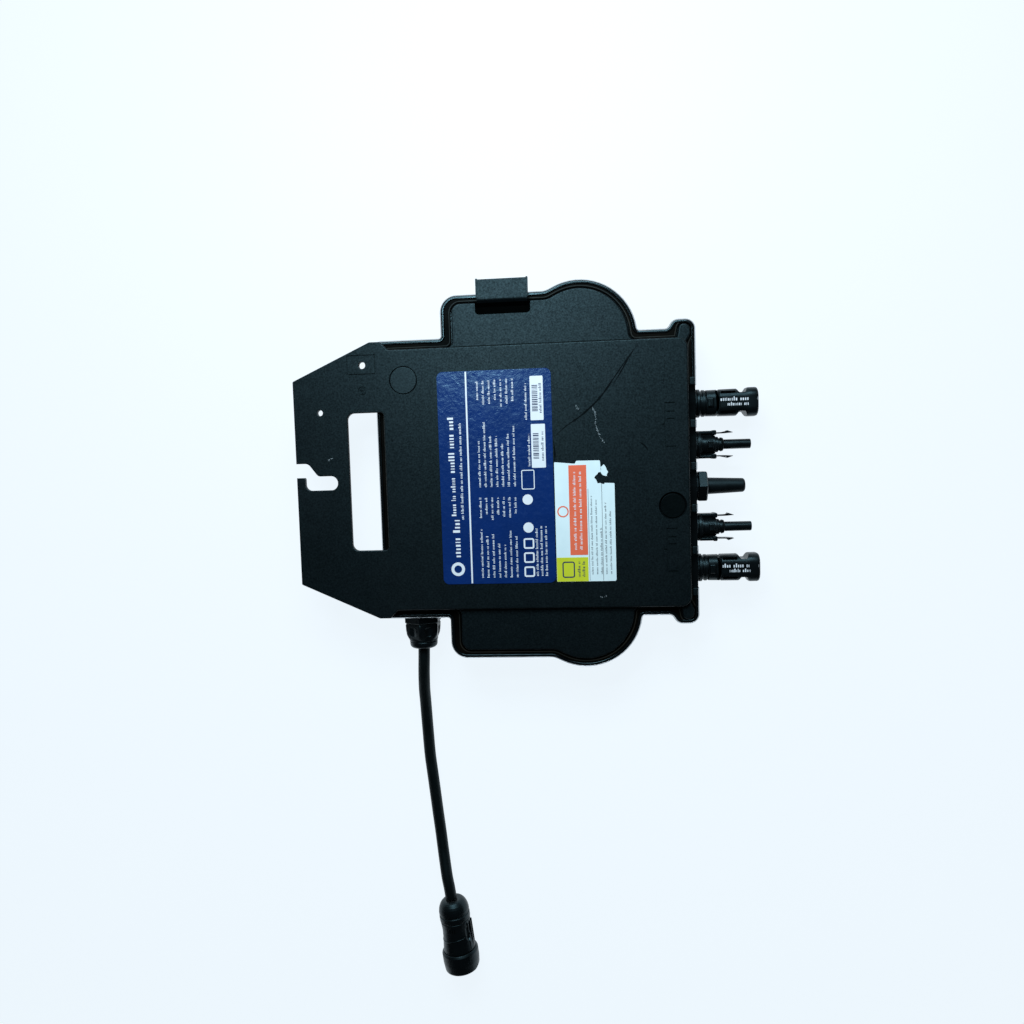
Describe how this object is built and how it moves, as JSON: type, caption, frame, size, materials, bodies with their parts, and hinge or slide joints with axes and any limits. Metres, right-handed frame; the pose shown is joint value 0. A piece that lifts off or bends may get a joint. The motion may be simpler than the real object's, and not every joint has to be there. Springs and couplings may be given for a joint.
{
  "type": "microinverter",
  "caption": "Flat photovoltaic microinverter: cast tray closed by a cover with a slotted mounting flange, DC connectors, antenna stub and AC cord with an inline plug.",
  "frame": {"origin": "middle of the bounding box at its base, measured without the AC cord and its plug", "axes": "+X towards the tips of the DC connectors, -Y the side where the AC cord leaves, +Z out of the labelled cover; the part lies on its grooved front face"},
  "size_m": [0.263, 0.4178, 0.0365],
  "materials": {
    "cast_gloss": "gloss black paint over die-cast aluminium",
    "powder_coat": "matte dark powder coat",
    "rubber": "matte black elastomer",
    "label_blue": "blue printed film",
    "label_white": "white coated paper",
    "contact": "tinned copper",
    "lens": "smoked clear plastic",
    "circuit_board": "green solder mask",
    "steel": "zinc plated",
    "ferrite": "dark ferrite",
    "capacitor_sleeve": "shrink sleeve",
    "film_case": "potted box",
    "relay_case": "moulded case",
    "choke_core": "coated toroid",
    "aluminium": "milled",
    "insert_grey": "moulded",
    "black_plastic": "glass-filled nylon, satin"
  },
  "bodies": {
    "chassis": {"housing_tray": "cast_gloss", "back_cover": "powder_coat", "perimeter_seal": "rubber", "edge_hook": "powder_coat", "fill_port_plug": "powder_coat", "vent_port_plug": "rubber", "rating_label": "label_blue", "notice_label": "label_white", "dc_socket_1": "black_plastic", "dc_socket_pin_1": "contact", "dc_socket_seal_1": "rubber", "dc_socket_nut_1": "black_plastic", "dc_socket_2": "black_plastic", "dc_socket_pin_2": "contact", "dc_socket_seal_2": "rubber", "dc_socket_nut_2": "black_plastic", "dc_plug_1": "black_plastic", "dc_plug_sleeve_1": "contact", "dc_plug_seal_1": "rubber", "dc_plug_nut_1": "black_plastic", "dc_plug_2": "black_plastic", "dc_plug_sleeve_2": "contact", "dc_plug_seal_2": "rubber", "dc_plug_nut_2": "black_plastic", "status_lens": "lens", "antenna_base": "black_plastic", "antenna_stub": "rubber", "antenna_seal": "rubber", "antenna_coax": "rubber", "gland_body": "black_plastic", "gland_seal": "rubber", "gland_locknut": "black_plastic", "ac_cord": "rubber", "cord_plug_body": "black_plastic", "cord_plug_front": "black_plastic", "cord_plug_insert": "insert_grey", "cord_plug_pin_earth": "contact", "cord_plug_pin_line": "contact", "cord_plug_pin_neutral": "contact", "main_board": "circuit_board", "board_screw_1": "steel", "board_screw_2": "steel", "board_screw_3": "steel", "board_screw_4": "steel", "transformer_1": "ferrite", "transformer_2": "ferrite", "input_capacitor_1": "capacitor_sleeve", "input_capacitor_2": "capacitor_sleeve", "film_capacitor": "film_case", "output_relay": "relay_case", "line_choke": "choke_core", "heat_spreader": "aluminium", "control_board": "circuit_board"},
    "latch_1_upper": {"latch_arm_1_upper": "black_plastic"},
    "latch_1_lower": {"latch_arm_1_lower": "black_plastic"},
    "latch_2_upper": {"latch_arm_2_upper": "black_plastic"},
    "latch_2_lower": {"latch_arm_2_lower": "black_plastic"},
    "gland_nut": {"gland_nut": "black_plastic"},
    "plug_nut": {"cord_plug_nut": "black_plastic"}
  },
  "joints": [
    {"name": "latch_1_upper_flex", "type": "hinge", "parent": "chassis", "child": "latch_1_upper", "pos_m": [0.1089, 0.0211, 0.018], "axis": [0, 0, -1], "range_deg": [0, 8], "stiffness_Nm_per_rad": 0.05},
    {"name": "latch_1_lower_flex", "type": "hinge", "parent": "chassis", "child": "latch_1_lower", "pos_m": [0.1089, 0.0079, 0.018], "axis": [0, 0, 1], "range_deg": [0, 8], "stiffness_Nm_per_rad": 0.05},
    {"name": "latch_2_upper_flex", "type": "hinge", "parent": "chassis", "child": "latch_2_upper", "pos_m": [0.1089, -0.0259, 0.018], "axis": [0, 0, -1], "range_deg": [0, 8], "stiffness_Nm_per_rad": 0.05},
    {"name": "latch_2_lower_flex", "type": "hinge", "parent": "chassis", "child": "latch_2_lower", "pos_m": [0.1089, -0.0391, 0.018], "axis": [0, 0, 1], "range_deg": [0, 8], "stiffness_Nm_per_rad": 0.05},
    {"name": "gland_nut_turn", "type": "hinge", "parent": "chassis", "child": "gland_nut", "pos_m": [-0.065, -0.0931, 0.016], "axis": [0, -1, 0], "continuous": true},
    {"name": "plug_nut_turn", "type": "hinge", "parent": "chassis", "child": "plug_nut", "pos_m": [-0.0541, -0.26645, 0.0118], "axis": [0.134, -0.991, 0], "continuous": true}
  ]
}
